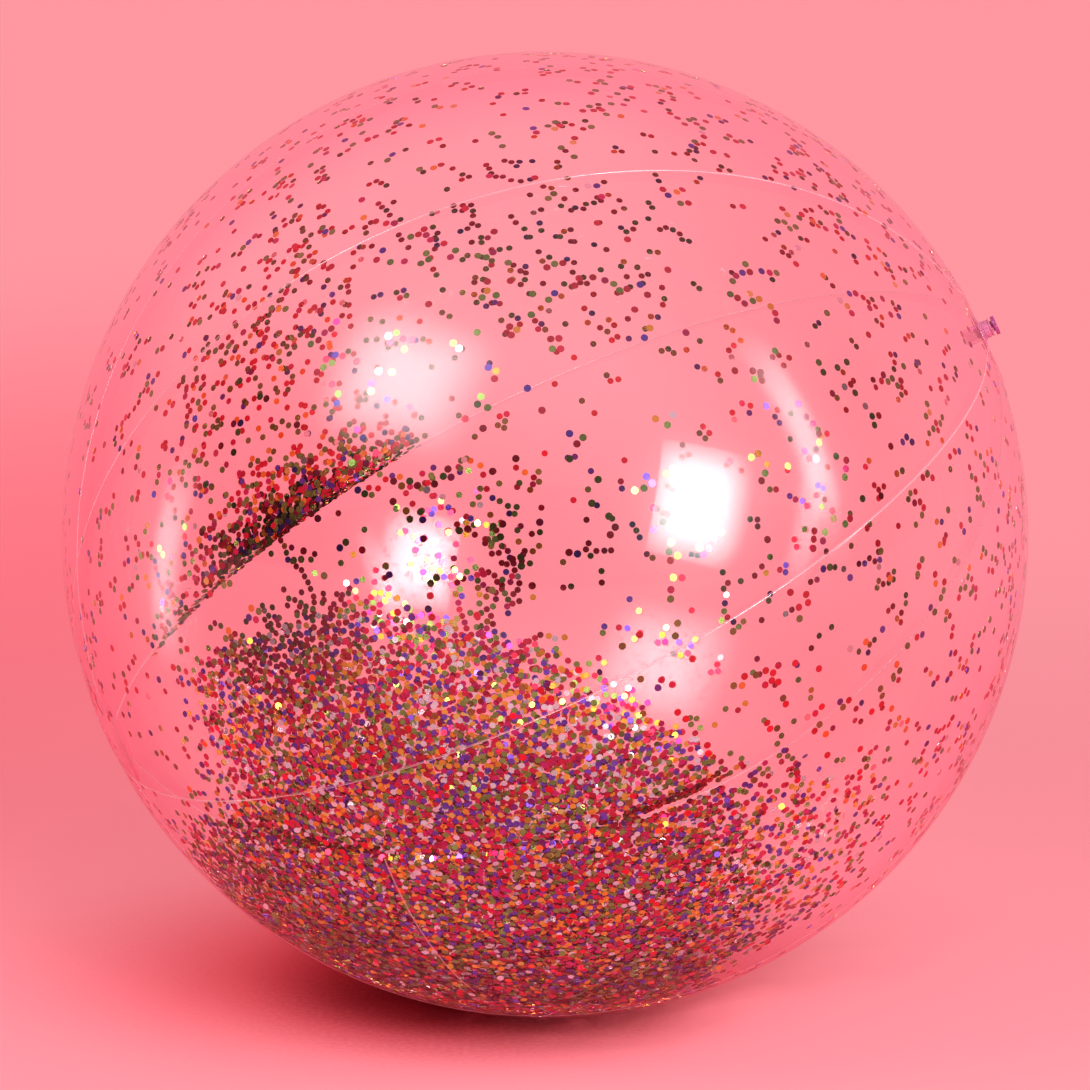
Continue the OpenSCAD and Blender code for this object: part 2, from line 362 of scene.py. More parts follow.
# Six film panels, welded edge to edge along flanges that stand into the ball
crease = {"from": (62, -111), "to": (33, -104), "height": 0.7 * mm, "width": 1.0 * mm, "reach": 8 * mm,
          "loops": [-2.4 * mm, -1.2 * mm, -0.35 * mm, 0.35 * mm, 1.2 * mm, 2.4 * mm], "whitened": 0.14 * mm,
          "whitenedShare": 0.95}
filmPanel = {
    "names": ["bottom_panel", "lower_back_panel", "upper_back_panel",
              "top_panel", "upper_front_panel", "lower_front_panel"],
    "tipRadius": discRadius - 7 * mm,
    "arcSteps": 150,
    "turnSteps": 40,
    "foldGap": 0.04 * mm,  # half the space between two welded flanges
    "foldRadius": 0.5 * mm,
    "seamLoops": [1.5 * mm, 3.5 * mm, 7 * mm, 12 * mm],
    "drawIn": 0.35 * mm,  # how far a weld pulls the film in
    "drawWidth": 9 * mm,
    "puckerHeight": 0.07 * mm,
    "puckerLength": 17 * mm,
    "puckerScale": 31.0,
    "waveHeight": 0.16 * mm,
    "waveScale": 14.0,  # waves per metre, about
    "smoothRing": 4 * mm,  # round the discs the film has no relief
    "flatMargin": 0.1 * mm,
    "footSoftness": 0.3 * mm,
}


def panelRelief(place, edgeDistance, look):
    nearness = math.exp(-(edgeDistance / look["drawWidth"]) ** 2)
    strength = noise.noise(place * look["puckerScale"])
    pucker = look["puckerHeight"] * strength * math.sin(place.z / look["puckerLength"] * 2 * math.pi)
    wave = look["waveHeight"] * noise.noise(place * look["waveScale"])
    return wave + nearness * (pucker - look["drawIn"])


def pressCrease(bm, look, seamNormals):
    start, end = [ballFromWorld @ wallDirection(*look[key]) for key in ("from", "to")]
    middle = (start + end).normalized()
    if min(middle.dot(side) for side in seamNormals) < 0:
        return  # the crease is in another panel
    across = start.cross(end).normalized()
    along = (end - start).normalized()
    length = (end - start).length * ballRadius / 2
    for offset in look["loops"]:
        faces = [face for face in bm.faces if face.calc_center_median().dot(middle) > ballRadius / 2
                 and abs(face.calc_center_median().dot(across)) < look["reach"]]
        edges = {edge for face in faces for edge in face.edges}
        verts = {vert for face in faces for vert in face.verts}
        bmesh.ops.bisect_plane(bm, geom=faces + list(edges) + list(verts), dist=touch,
                               plane_co=across * offset, plane_no=across)
    for face in bm.faces:  # the sharp fold has whitened the film
        place = face.calc_center_median()
        if (place.dot(middle) > 0 and abs(place.dot(across)) < look["whitened"]
                and abs((place - middle * ballRadius).dot(along)) < length * look["whitenedShare"]):
            face.material_index = 1
    for vert in bm.verts:
        share = (vert.co - middle * ballRadius).dot(along) / length
        if abs(share) < 1 and vert.co.dot(middle) > 0:
            ridge = math.exp(-(vert.co.dot(across) / look["width"]) ** 2) * (1 - share ** 2)
            vert.co += vert.co.normalized() * look["height"] * ridge


def sweepPanel(start, look):
    bm = bmesh.new()
    tip = bm.verts.new((look["tipRadius"], 0, poleHeight))
    rim = bm.verts.new((discRadius, 0, poleHeight))
    bm.edges.new((tip, rim))
    sweep = math.pi - 2 * math.asin(discRadius / ballRadius)
    arc = bmesh.ops.spin(bm, geom=[rim], cent=(0, 0, 0), axis=(0, 1, 0), angle=sweep, steps=look["arcSteps"])
    lastRim = next(part for part in arc["geom_last"] if isinstance(part, bmesh.types.BMVert))
    bm.edges.new((lastRim, bm.verts.new((look["tipRadius"], 0, -poleHeight))))
    bmesh.ops.rotate(bm, cent=(0, 0, 0), matrix=Matrix.Rotation(start, 3, "Z"), verts=bm.verts)
    bmesh.ops.spin(bm, geom=bm.verts[:] + bm.edges[:], cent=(0, 0, 0), axis=(0, 0, 1),
                   angle=panelAngle, steps=look["turnSteps"])
    return bm


def foldSeam(bm, normal, outward, look):  # turns the edge along a seam into the ball as a flange
    seamEdges = [edge for edge in bm.edges if edge.is_boundary
                 and all(abs(vert.co.dot(normal)) < touch for vert in edge.verts)]
    seamVerts = list({vert for edge in seamEdges for vert in edge.verts})
    grown = bmesh.ops.extrude_edge_only(bm, edges=seamEdges)["geom"]
    fresh = [part for part in grown if isinstance(part, bmesh.types.BMVert)]
    nearest = {tuple(round(c, 6) for c in vert.co): outward[vert] for vert in seamVerts}
    for vert in fresh:
        vert.co -= nearest[tuple(round(c, 6) for c in vert.co)] * weldDepth
    bmesh.ops.translate(bm, vec=normal * look["foldGap"], verts=seamVerts + fresh)
    foldEdges = [edge for edge in bm.edges if not edge.is_boundary and all(
        vert in outward and vert.co.dot(normal) < 2 * look["foldGap"] for vert in edge.verts)]
    for face in bevelRound(bm, foldEdges, look["foldRadius"])["faces"]:
        face.material_index = 1
    return {vert: outward.get(vert, vert.co.normalized()) for vert in bm.verts}


def makePanel(index, look):
    start = seamTurn + (index - 1) * panelAngle
    bm = sweepPanel(start, look)
    seamNormals = [Vector((-math.sin(start), math.cos(start), 0)),
                   Vector((math.sin(start + panelAngle), -math.cos(start + panelAngle), 0))]
    for normal in seamNormals:
        for distance in look["seamLoops"]:
            bmesh.ops.bisect_plane(bm, geom=bm.verts[:] + bm.edges[:] + bm.faces[:], dist=touch,
                                   plane_co=normal * distance, plane_no=normal)
    pressCrease(bm, crease, seamNormals)
    faceOutwards(bm)
    outward = {}
    for vert in bm.verts:
        flat = math.hypot(vert.co.x, vert.co.y) < discRadius - look["flatMargin"]
        outward[vert] = Vector((0, 0, math.copysign(1, vert.co.z))) if flat else vert.co.normalized()
    for vert, normal in outward.items():
        edgeDistance = min(vert.co.dot(side) for side in seamNormals)
        if math.hypot(vert.co.x, vert.co.y) > discRadius + look["smoothRing"]:
            vert.co += normal * panelRelief(ballFrame @ vert.co, edgeDistance, look)
    for normal in seamNormals:
        outward = foldSeam(bm, normal, outward, look)
    faceOutwards(bm)
    for face in bm.faces:
        middle = face.calc_center_median()
        if min(middle.dot(side) for side in seamNormals) < 2 * look["foldGap"]:
            face.material_index = 2
    name = look["names"][index]
    first, *rest = name.split("_")
    pieceName = first + "".join(word.capitalize() for word in rest) + "Film"
    piece = makePiece(bm, pieceName, clearFilmMaterial, ballFrame)
    for vert in piece.data.vertices:  # the ball's weight flattens the film on the floor
        vert.co.z = (vert.co.z + math.hypot(vert.co.z, look["footSoftness"])) / 2
    for material in [weldBeadMaterial, weldBondMaterial]:
        piece.data.materials.append(material)
    wall = piece.modifiers.new("gauge", "SOLIDIFY")
    wall.thickness = filmGauge
    wall.offset = -1
    wall.material_offset = 2  # only the outer face is glossy
    wall.material_offset_rim = 2
    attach(piece, "ball")
    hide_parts(name)


for index in range(panelCount):
    makePanel(index, filmPanel)
print("film panels made")


# Round discs over the panel tips, with the ribs of their welds
endDisc = {"weldRibs": 4, "weldWidth": 6 * mm, "ribHeight": 0.1 * mm, "ribInset": 0.6 * mm, "steps": 96,
           "skirtRadius": halfWidth("valve_skirt")}


def discProfile(innerRadius, look):
    step = look["weldWidth"] / look["weldRibs"]
    points = [(innerRadius, -filmGauge), (discRadius, -filmGauge), (discRadius, 0)]
    for rib in range(look["weldRibs"]):
        outer = discRadius - look["ribInset"] - rib * step
        points += [(outer, 0), (outer - step * 0.25, look["ribHeight"]),
                   (outer - step * 0.5, look["ribHeight"]), (outer - step * 0.75, 0)]
    return points + [(innerRadius, 0)]


valveFrame = ballFrame @ Matrix.Translation((0, 0, poleHeight + filmGauge))
endFrame = ballFrame @ Matrix.Rotation(math.pi, 4, "X") @ Matrix.Translation((0, 0, poleHeight + filmGauge))
for node, pieceName, place, innerRadius in [
        ("end_disc", "endDiscFilm", endFrame, 0),
        ("valve_disc", "valveDiscFilm", valveFrame, endDisc["skirtRadius"])]:
    profile = discProfile(innerRadius, endDisc)
    disc = makePiece(turnProfile(profile, closed=innerRadius > 0, steps=endDisc["steps"]),
                     pieceName, discFilmMaterial, place)
    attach(disc, "ball")
    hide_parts(node)
print("end discs made")


# Valve: flange, skirt, stem, stopper with its strap, and one-way flap, drawn from the disc's outer face
valve = {
    "stemRadius": halfWidth("valve_stem"),
    "boreRadius": 2.2 * mm,
    "stemOut": 4.6 * mm,
    "stemIn": 7 * mm,
    "stemRing": 0.2 * mm,
    "groove": (1.3 * mm, 1.1 * mm, 0.8 * mm, 0.6 * mm),  # its corners, under the stem's end
    "grooveDepth": 0.35 * mm,
    "stemRound": 0.14 * mm,
    "flangeRadius": halfWidth("valve_flange"),
    "flangeThickness": 0.6 * mm,
    "flangeRibs": 3,
    "flangeRibHeight": 0.2 * mm,
    "flangeRound": 0.1 * mm,
    "skirtRadius": halfWidth("valve_skirt"),
    "skirtThickness": 0.4 * mm,
    "skirtRise": 1.2 * mm,
    "skirtRings": 12,
    "skirtRoll": 0.12,  # a soft roll at both ends
    "seatFit": 0.05 * mm,
    "capRadius": halfWidth("valve_plug"),
    "capThickness": 1.5 * mm,
    "capGap": 1 * mm,
    "capRim": 1 * mm,
    "dishInset": 1.3 * mm,
    "dishDepth": 0.25 * mm,
    "plugRound": 0.22 * mm,
    "neckIn": 7 * mm,
    "tipTaper": 0.4 * mm,
    "tipLength": 0.8 * mm,
    "neckFit": 0.05 * mm,
    "strapWidth": 3 * mm,
    "strapThickness": 0.5 * mm,
    "strapBend": 2 * mm,
    "strapSteps": 24,
    "strapLeg": 0.02 * mm,
    "sheetRound": 0.08 * mm,
    "flapThickness": 0.4 * mm,
    "flapLap": 0.8 * mm,
    "flapHingeWidth": 2.4 * mm,
    "flapRoundFrom": 60,  # degrees
}


def valvePiece(bm, name, node, body=None, material=stemVinylMaterial):
    piece = makePiece(bm, name, material, valveFrame)
    if body:
        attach(piece, body)
    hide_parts(node)
    return piece


def makeFlange(look):
    top = -filmGauge
    low = top - look["flangeThickness"]
    width = (look["flangeRadius"] - look["skirtRadius"]) / (look["flangeRibs"] + 1)
    points = [(look["flangeRadius"], low), (look["flangeRadius"], top), (look["skirtRadius"], top)]
    points.append((look["skirtRadius"], low))
    for rib in range(look["flangeRibs"]):
        middle = look["skirtRadius"] + width * (rib + 1)
        points += [(middle - width * 0.3, low), (middle, low - look["flangeRibHeight"]),
                   (middle + width * 0.3, low)]
    bm = turnProfile(points)
    roundEdges(bm, look["flangeRound"])
    valvePiece(bm, "valveFlange", "valve_flange", "ball")


def makeSkirt(look):
    low = -filmGauge - look["flangeThickness"]
    inner = look["stemRadius"] + look["seatFit"]
    lift = look["skirtRise"] - look["skirtThickness"] - low
    lower = []
    for ring in range(look["skirtRings"] + 1):
        share = ring / look["skirtRings"]
        curve = share + look["skirtRoll"] * math.sin(2 * math.pi * share)
        lower.append((look["skirtRadius"] + (inner - look["skirtRadius"]) * share, low + lift * curve))
    upper = [(radius, height + look["skirtThickness"]) for radius, height in reversed(lower)]
    piece = valvePiece(turnProfile(lower + upper), "valveSkirt", "valve_skirt")
    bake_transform(piece)


def makeStem(look):
    bore, radius, out = look["boreRadius"], look["stemRadius"], look["stemOut"]
    waist = radius - look["grooveDepth"]
    corners = [(ring, out - depth) for ring, depth in zip((radius, waist, waist, radius), look["groove"])]
    bm = turnProfile([
        (bore, -look["stemIn"]), (radius, -look["stemIn"]), (radius, look["stemRing"]), *corners,
        (radius, out), (bore, out)])
    roundEdges(bm, look["stemRound"])
    valvePiece(bm, "valveStem", "valve_stem", "valve")


def makePlug(look):
    neck = look["boreRadius"] - look["neckFit"]
    low, high = look["stemOut"] + look["capGap"], look["stemOut"] + look["capGap"] + look["capThickness"]
    cap = look["capRadius"]
    end = look["stemOut"] - look["neckIn"]
    dish = high - look["dishDepth"]
    bm = turnProfile([
        (0, end), (neck - look["tipTaper"], end), (neck, end + look["tipLength"]), (neck, low), (cap, low),
        (cap, high), (cap - look["capRim"], high), (cap - look["dishInset"], dish), (0, dish)], closed=False)
    roundEdges(bm, look["plugRound"])
    valvePiece(bm, "valvePlug", "valve_plug", "stopper", stopperVinylMaterial)


def makeStrap(look):
    half = look["strapWidth"] / 2
    bendY = max(look["stemRadius"], look["capRadius"])
    high = look["stemOut"] + look["capGap"] + look["capThickness"] / 2
    middle = high - look["strapBend"]
    bm = bmesh.new()
    ends = [bm.verts.new((side * half, look["capRadius"] + look["seatFit"], high)) for side in (-1, 1)]
    first = bm.edges.new(ends)
    leg = bmesh.ops.extrude_edge_only(bm, edges=[first])["geom"]
    legVerts = [part for part in leg if isinstance(part, bmesh.types.BMVert)]
    bmesh.ops.translate(bm, vec=(0, bendY + look["strapLeg"] - legVerts[0].co.y, 0), verts=legVerts)
    legEdge = [edge for edge in bm.edges if all(vert in legVerts for vert in edge.verts)]
    bend = bmesh.ops.spin(bm, geom=legVerts + legEdge, cent=(0, bendY, middle), axis=(1, 0, 0),
                          angle=-math.pi, steps=look["strapSteps"])["geom_last"]
    lastEdge = [part for part in bend if isinstance(part, bmesh.types.BMEdge)]
    foot = bmesh.ops.extrude_edge_only(bm, edges=lastEdge)["geom"]
    for vert in [part for part in foot if isinstance(part, bmesh.types.BMVert)]:
        vert.co.y = look["stemRadius"] + look["seatFit"]
    bmesh.ops.remove_doubles(bm, verts=bm.verts, dist=mergeReach)
    bmesh.ops.recalc_face_normals(bm, faces=bm.faces)
    bmesh.ops.solidify(bm, geom=bm.faces[:], thickness=look["strapThickness"] / 2)
    bmesh.ops.recalc_face_normals(bm, faces=bm.faces)
    roundEdges(bm, look["sheetRound"])
    piece = valvePiece(bm, "valveStrap", "valve_strap")
    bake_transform(piece)


def makeFlap(look):
    radius = look["boreRadius"] + look["flapLap"]
    top = -look["stemIn"] - look["seatFit"]
    bm = bmesh.new()
    bmesh.ops.create_circle(bm, cap_ends=True, segments=64, radius=radius,
                            matrix=Matrix.Translation((0, 0, top)))
    hinge = [edge for edge in bm.edges
             if all(vert.co.y > 0 and abs(vert.co.x) < look["flapHingeWidth"] / 2 for vert in edge.verts)]
    grown = bmesh.ops.extrude_edge_only(bm, edges=hinge)["geom"]
    for vert in [part for part in grown if isinstance(part, bmesh.types.BMVert)]:
        vert.co.y = look["stemRadius"]
    bmesh.ops.recalc_face_normals(bm, faces=bm.faces)
    if max(bm.faces, key=lambda face: face.calc_area()).normal.z < 0:
        bmesh.ops.reverse_faces(bm, faces=bm.faces)
    bmesh.ops.solidify(bm, geom=bm.faces[:], thickness=look["flapThickness"])
    bmesh.ops.recalc_face_normals(bm, faces=bm.faces)
    roundEdges(bm, look["sheetRound"], look["flapRoundFrom"])
    valvePiece(bm, "checkFlap", "check_flap", "flap")


makeFlange(valve)
makeSkirt(valve)
makeStem(valve)
makePlug(valve)
makeStrap(valve)
makeFlap(valve)
print("valve made")


# Loose confetti: thin foil dots on the wall, on the ledges of the welds and in the heap
confetti = {
    "seed": 11,
    "radius": 1.5 * mm,
    "thickness": 0.1 * mm,
    "sides": 9,
    "wallGap": 0.4 * mm,
    "seamGap": 0.3 * mm,
    "cell": 3 * mm,  # of the grid in which neighbours are looked up
    "layer": 0.2 * mm,
    "wallShares": {"red": 0.35, "magenta": 0.11, "orange": 0.08, "gold": 0.02,
                   "green": 0.31, "blue": 0.10, "silver": 0.03},
    "heapShares": {"red": 0.20, "magenta": 0.16, "orange": 0.17, "gold": 0.02,
                   "green": 0.18, "blue": 0.15, "silver": 0.12},
    "batch": 160,  # dots made at a time
    "scatter": 3500,
    "clumped": 0.45,  # share of the scatter that clings beside another dot
    "clumpReach": (2.02, 2.5),  # distance to it, in radii
    "wallTilt": 3.0,
    "heapTilt": 2.5,
    "looseTilt": 14.0,
    "tries": 3,  # places that a dot of the heap has to choose the lowest from
    "strandSway": 28.0,  # degrees that a strand may turn at each dot
    "strandStep": 2.1,  # from dot to dot, in radii
    "strandRoom": 1.5,  # radii that a dot of a strand needs free
    "bareBlur": (3, 5),  # degrees of lean and turn over which the heap's bare side begins
}
# Each patch has the lean from the lowest point and turn about Z of its middle, and its reach, in degrees
heapPatches = [  # loose is the share of the dots that don't lie flat; above bareLean it ends at bareTurn
    {"lean": 27, "turn": 124, "reach": 44, "fringe": 5, "count": 15000, "loose": 0.3, "bareLean": 46,
     "bareTurn": 145},
    {"lean": 24, "turn": 118, "reach": 32, "fringe": 3, "count": 6000, "loose": 0.3, "bareLean": 46,
     "bareTurn": 145},
    {"lean": 6, "turn": 235, "reach": 26, "fringe": 3, "count": 1500, "loose": 0.3},
    {"lean": 30, "turn": 42, "reach": 24, "fringe": 2, "count": 600, "loose": 0.3},
]
drifts = [  # looser patches on the wall
    {"lean": 118, "turn": 92, "reach": 16, "fringe": 2, "count": 80},
    {"lean": 100, "turn": 130, "reach": 20, "fringe": 3, "count": 260},
    {"lean": 80, "turn": 100, "reach": 11, "fringe": 3, "count": 120},
    {"lean": 116, "turn": 128, "reach": 12, "fringe": 3, "count": 80},
    {"lean": 66, "turn": 121, "reach": 9, "fringe": 2, "count": 120},
]
strands = [  # rows of dots that cling above the heap, by the range of their feet
    {"lean": (58, 70), "turn": (108, 136), "count": 56, "steps": (5, 15)},
    {"lean": (60, 72), "turn": (92, 118), "count": 26, "steps": (4, 12)},
]
weldLedges = [  # polar angles of a seam's ledge, and its dots on the flange, clinging above it and in strands
    {"seam": 1, "angles": (103, 144), "onFlange": 360, "above": 600, "cling": 7 * mm, "strands": 50},
    {"seam": 1, "angles": (136, 158), "onFlange": 70, "above": 20, "cling": 3 * mm, "strands": 6},
    {"seam": 0, "angles": (82, 104), "onFlange": 80, "above": 50, "cling": 5 * mm, "strands": 4},
    {"seam": 0, "angles": (130, 154), "onFlange": 36, "above": 10, "cling": 4 * mm, "strands": 2},
]
ledgeLook = {
    "tilt": 14,
    "reach": (1.8 * mm, 5.0 * mm),  # of the dots on the flange, in from the wall
    "gap": 0.5 * mm,
    "pile": 0.8 * mm,
    "clingFrom": 2.4 * mm,  # height above the weld
    "strandFrom": 2.6,  # the same, in mm
    "strandSteps": (3, 13),
}
weldLeans = {"seam": 0, "angles": (98, 156), "count": 260, "lean": (25, 70), "pile": 1.2 * mm,
             "gap": 0.1 * mm, "tilt": 6}
draw = random.Random(confetti["seed"])
taken = {}  # dots already placed, by cell of the wall


def anyDirection():
    rise = draw.uniform(-1, 1)
    turn = draw.uniform(0, 2 * math.pi)
    out = math.sqrt(1 - rise * rise)
    return Vector((out * math.cos(turn), out * math.sin(turn), rise))


def stepAside(direction, angle, heading):
    side = direction.orthogonal().normalized()
    side.rotate(Matrix.Rotation(heading, 3, direction))
    return (direction * math.cos(angle) + side * math.sin(angle)).normalized()


def seamDistance(direction):
    own = ballFromWorld @ direction
    past = (math.atan2(own.y, own.x) - seamTurn) % panelAngle
    return ballRadius * math.hypot(own.x, own.y) * math.sin(min(past, panelAngle - past))


def hasRoom(direction):
    own = ballFromWorld @ direction
    axisDistance = ballRadius * math.hypot(own.x, own.y)
    return (seamDistance(direction) > confetti["radius"] + confetti["seamGap"]
            and axisDistance > discRadius + confetti["radius"])


def cellOf(direction):
    return tuple(math.floor(c * ballRadius / confetti["cell"]) for c in direction)


def cellsNear(direction):
    spot = cellOf(direction)
    for x in (-1, 0, 1):
        for y in (-1, 0, 1):
            for z in (-1, 0, 1):
                yield spot[0] + x, spot[1] + y, spot[2] + z


def neighbours(direction, reach):
    for cell in cellsNear(direction):
        for other, lift in taken.get(cell, []):
            if (other - direction).length * ballRadius < reach:
                yield lift


def remember(direction, lift):
    taken.setdefault(cellOf(direction), []).append((direction, lift))


def dotAt(place, normal):
    return Matrix.Translation(place) @ normal.to_track_quat("Z", "Y").to_matrix().to_4x4()


def wobble(normal, tilt):
    return stepAside(normal, math.radians(abs(draw.gauss(0, tilt))), draw.uniform(0, 2 * math.pi))


def dotMatrix(direction, lift, tilt):
    normal = wobble(-direction, tilt)
    slope = math.sqrt(max(0.0, 1 - normal.dot(direction) ** 2))
    place = ballCentre + direction * (ballRadius - filmGauge - lift - confetti["radius"] * slope)
    place.z = max(place.z, filmGauge + lift + confetti["radius"] * slope)
    return dotAt(place, normal)


def scatterDots():
    dots = []
    chain = None
    while len(dots) < confetti["scatter"]:
        direction = anyDirection()
        if chain and draw.random() < confetti["clumped"]:
            reach = confetti["radius"] * draw.uniform(*confetti["clumpReach"]) / ballRadius
            direction = stepAside(chain, reach, draw.uniform(0, 2 * math.pi))
        if not hasRoom(direction) or any(neighbours(direction, 2 * confetti["radius"])):
            chain = None
            continue
        chain = direction
        remember(direction, confetti["wallGap"])
        dots.append(dotMatrix(direction, confetti["wallGap"], confetti["wallTilt"]))
    return dots


def liftAt(direction):
    return max(neighbours(direction, 2 * confetti["radius"]), default=0) + confetti["layer"]


def layDot(direction, tilt):
    lift = max(liftAt(direction), confetti["wallGap"])
    remember(direction, lift)
    return dotMatrix(direction, lift, tilt)


def patchPlace(patch):
    middle = wallDirection(patch["lean"], patch["turn"])
    share = 1.0
    while draw.random() < share ** patch["fringe"]:  # thins out towards the edge
        share = math.sqrt(draw.random())
    return stepAside(middle, math.radians(patch["reach"]) * share, draw.uniform(0, 2 * math.pi))


def isBare(direction, patch):
    lean = math.degrees(math.acos(-direction.z)) + draw.gauss(0, confetti["bareBlur"][0])
    turn = math.degrees(math.atan2(direction.y, direction.x)) % 360 + draw.gauss(0, confetti["bareBlur"][1])
    return lean > patch.get("bareLean", 180) and turn > patch["bareTurn"]


def patchDots(patch, tilt, tries=1):
    dots = []
    for index in range(patch["count"]):
        direction = min([patchPlace(patch) for turn in range(tries)], key=liftAt)
        if hasRoom(direction) and not isBare(direction, patch):
            loose = draw.random() < patch.get("loose", 0)
            dots.append(layDot(direction, confetti["looseTilt"] if loose else tilt))
    return dots


def strandDots(direction, heading, steps):
    dots = []
    free = confetti["strandRoom"] * confetti["radius"]
    for step in range(steps):
        if hasRoom(direction) and not any(neighbours(direction, free)):
            dots.append(layDot(direction, confetti["wallTilt"]))
        heading.rotate(Matrix.Rotation(math.radians(draw.gauss(0, confetti["strandSway"])), 3, direction))
        heading = (heading - direction * heading.dot(direction)).normalized()
        stride = heading * confetti["radius"] * confetti["strandStep"] / ballRadius
        direction = (direction + stride).normalized()
    return dots


def manyStrands(look):
    dots = []
    for index in range(look["count"]):
        foot = wallDirection(draw.uniform(*look["lean"]), draw.uniform(*look["turn"]))
        dots += strandDots(foot, Vector((0, 0, 1)), draw.randint(*look["steps"]))
    return dots


def seamSides(seam):
    turn = seamTurn + seam * panelAngle
    outward = ballFrame.to_3x3() @ Vector((math.cos(turn), math.sin(turn), 0))
    upward = ballFrame.to_3x3() @ Vector((-math.sin(turn), math.cos(turn), 0))
    return outward, upward if upward.z > 0 else -upward


def seamPlace(outward, angles, share):
    angle = math.radians(angles[0] + (angles[1] - angles[0]) * share)
    return outward * math.sin(angle) + poleAxis * math.cos(angle)


def ledgeDots(ledge):
    dots = []
    outward, upward = seamSides(ledge["seam"])
    for index in range(ledge["onFlange"] + ledge["above"] + ledge["strands"]):
        onWall = seamPlace(outward, ledge["angles"], (draw.random() + draw.random()) / 2)
        if index < ledge["onFlange"]:
            place = onWall * (ballRadius - filmGauge - draw.uniform(*ledgeLook["reach"]))
            place += upward * (ledgeLook["gap"] + draw.expovariate(1 / ledgeLook["pile"]))
            dots.append(dotAt(ballCentre + place, wobble(upward, ledgeLook["tilt"])))
        elif index < ledge["onFlange"] + ledge["above"]:
            height = ledgeLook["clingFrom"] + draw.expovariate(1 / ledge["cling"])
            direction = (onWall * ballRadius + upward * height).normalized()
            if hasRoom(direction):
                dots.append(layDot(direction, confetti["wallTilt"]))
        else:
            foot = (onWall * ballRadius + upward * ledgeLook["strandFrom"] * mm).normalized()
            dots += strandDots(foot, upward.copy(), draw.randint(*ledgeLook["strandSteps"]))
    return dots


def leaningDots(look):  # dots of the heap that lean on a flange
    dots = []
    outward, upward = seamSides(look["seam"])
    for index in range(look["count"]):
        onWall = seamPlace(outward, look["angles"], draw.random())
        lean = math.radians(draw.uniform(*look["lean"]))
        lift = confetti["wallGap"] + confetti["radius"] * math.sin(lean) + draw.uniform(0, look["pile"])
        beside = filmGauge + look["gap"] + confetti["radius"] * math.cos(lean)
        place = ballCentre + onWall * (ballRadius - filmGauge - lift) - upward * beside
        dots.append(dotAt(place, wobble(-onWall * math.cos(lean) - upward * math.sin(lean), look["tilt"])))
    return dots


def pickColours(dots, shares):
    names = list(shares)
    return [(draw.choices(names, list(shares.values()))[0], matrix, draw.random()) for matrix in dots]


def addDots(bm, dots):
    batch = bmesh.new()
    tintLayer = batch.faces.layers.float.new("dotTint")
    for matrix, tint in dots:
        made = bmesh.ops.create_circle(batch, cap_ends=True, segments=confetti["sides"],
                                       radius=confetti["radius"], matrix=matrix)
        made["verts"][0].link_faces[0][tintLayer] = tint
    mesh = bpy.data.meshes.new("dotBatch")
    batch.to_mesh(mesh)
    batch.free()
    bm.from_mesh(mesh)
    bpy.data.meshes.remove(mesh)


def makeConfetti():
    wallDots = scatterDots()
    for ledge in weldLedges:
        wallDots += ledgeDots(ledge)
    for drift in drifts:
        wallDots += patchDots(drift, confetti["wallTilt"])
    for rows in strands:
        wallDots += manyStrands(rows)
    pileDots = leaningDots(weldLeans)
    for patch in heapPatches:
        pileDots += patchDots(patch, confetti["heapTilt"], confetti["tries"])
    for zone, picked in [("Wall", pickColours(wallDots, confetti["wallShares"])),
                         ("Heap", pickColours(pileDots, confetti["heapShares"]))]:
        for name in foilColours:
            confettiPiece(name, zone, [(matrix, tint) for colour, matrix, tint in picked if colour == name])


def confettiPiece(name, zone, dots):
    bm = bmesh.new()
    bm.faces.layers.float.new("dotTint")
    for start in range(0, len(dots), confetti["batch"]):
        addDots(bm, dots[start:start + confetti["batch"]])
    piece = makePiece(bm, name + zone + "Confetti", foilMaterials[name, zone], Matrix.Identity(4))
    piece.data.shade_flat()
    wall = piece.modifiers.new("foil", "SOLIDIFY")
    wall.thickness = confetti["thickness"]
    wall.offset = 0
    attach(piece, "ball")
    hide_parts("confetti_" + name)
    print(name, zone, "confetti:", len(dots), "dots")


makeConfetti()


# Floor, lamps and surroundings
paper = {
    "colour": (1.0, 0.31, 0.355, 1),
    "deep": (1.0, 0.186, 0.236, 1),
    "paintedFarShadowSpot": (-0.3, 0.315, 0),  # painted shadow: the paper's colour deepens towards here, where the ball's shadow falls
    "paintedFarShadowStretch": (1, 0.35, 1),
    "paintedFarShadowReach": 0.5,
    # painted shadow under the ball
    "paintedUnderShadow": (0.97, 0.05, 0.08, 1),
    "paintedUnderShadowSpot": (-0.06, 0.05, 0),
    "paintedUnderShadowReach": 0.22,
    # painted contact shadow, darkest where the ball touches the paper
    "paintedContactShade": (0.42, 0.01, 0.025, 1),
    "paintedContactShadeSpot": (-0.036, -0.008, 0),
    "paintedContactShadeReach": 0.12,
    "mirrored": (1.0, 0.12, 0.16, 1),  # painted shade: near the ball the paper shows darker in reflections than it is lit
    "fleck": 0.03,
    "fibreScale": 420.0,
    "fibreDetail": 5.0,
    "grainScale": 900.0,
    "grainStrength": 0.08,
    "grainHeight": 0.2 * mm,
    "radius": 14.0,
    "sides": 128,
    "nearLight": 0.3,  # up to here the floor shows only the light that falls on it
    "farLight": 1.1,  # from here on it shows its plain colour
}


def spotShare(tree, place, spot, reach, fibre):
    away = addNode(tree, "ShaderNodeVectorMath", {0: place, 1: spot}, operation="DISTANCE").outputs["Value"]
    return smoothRange(tree, addMath(tree, "ADD", away, fibre), 0.0, reach)


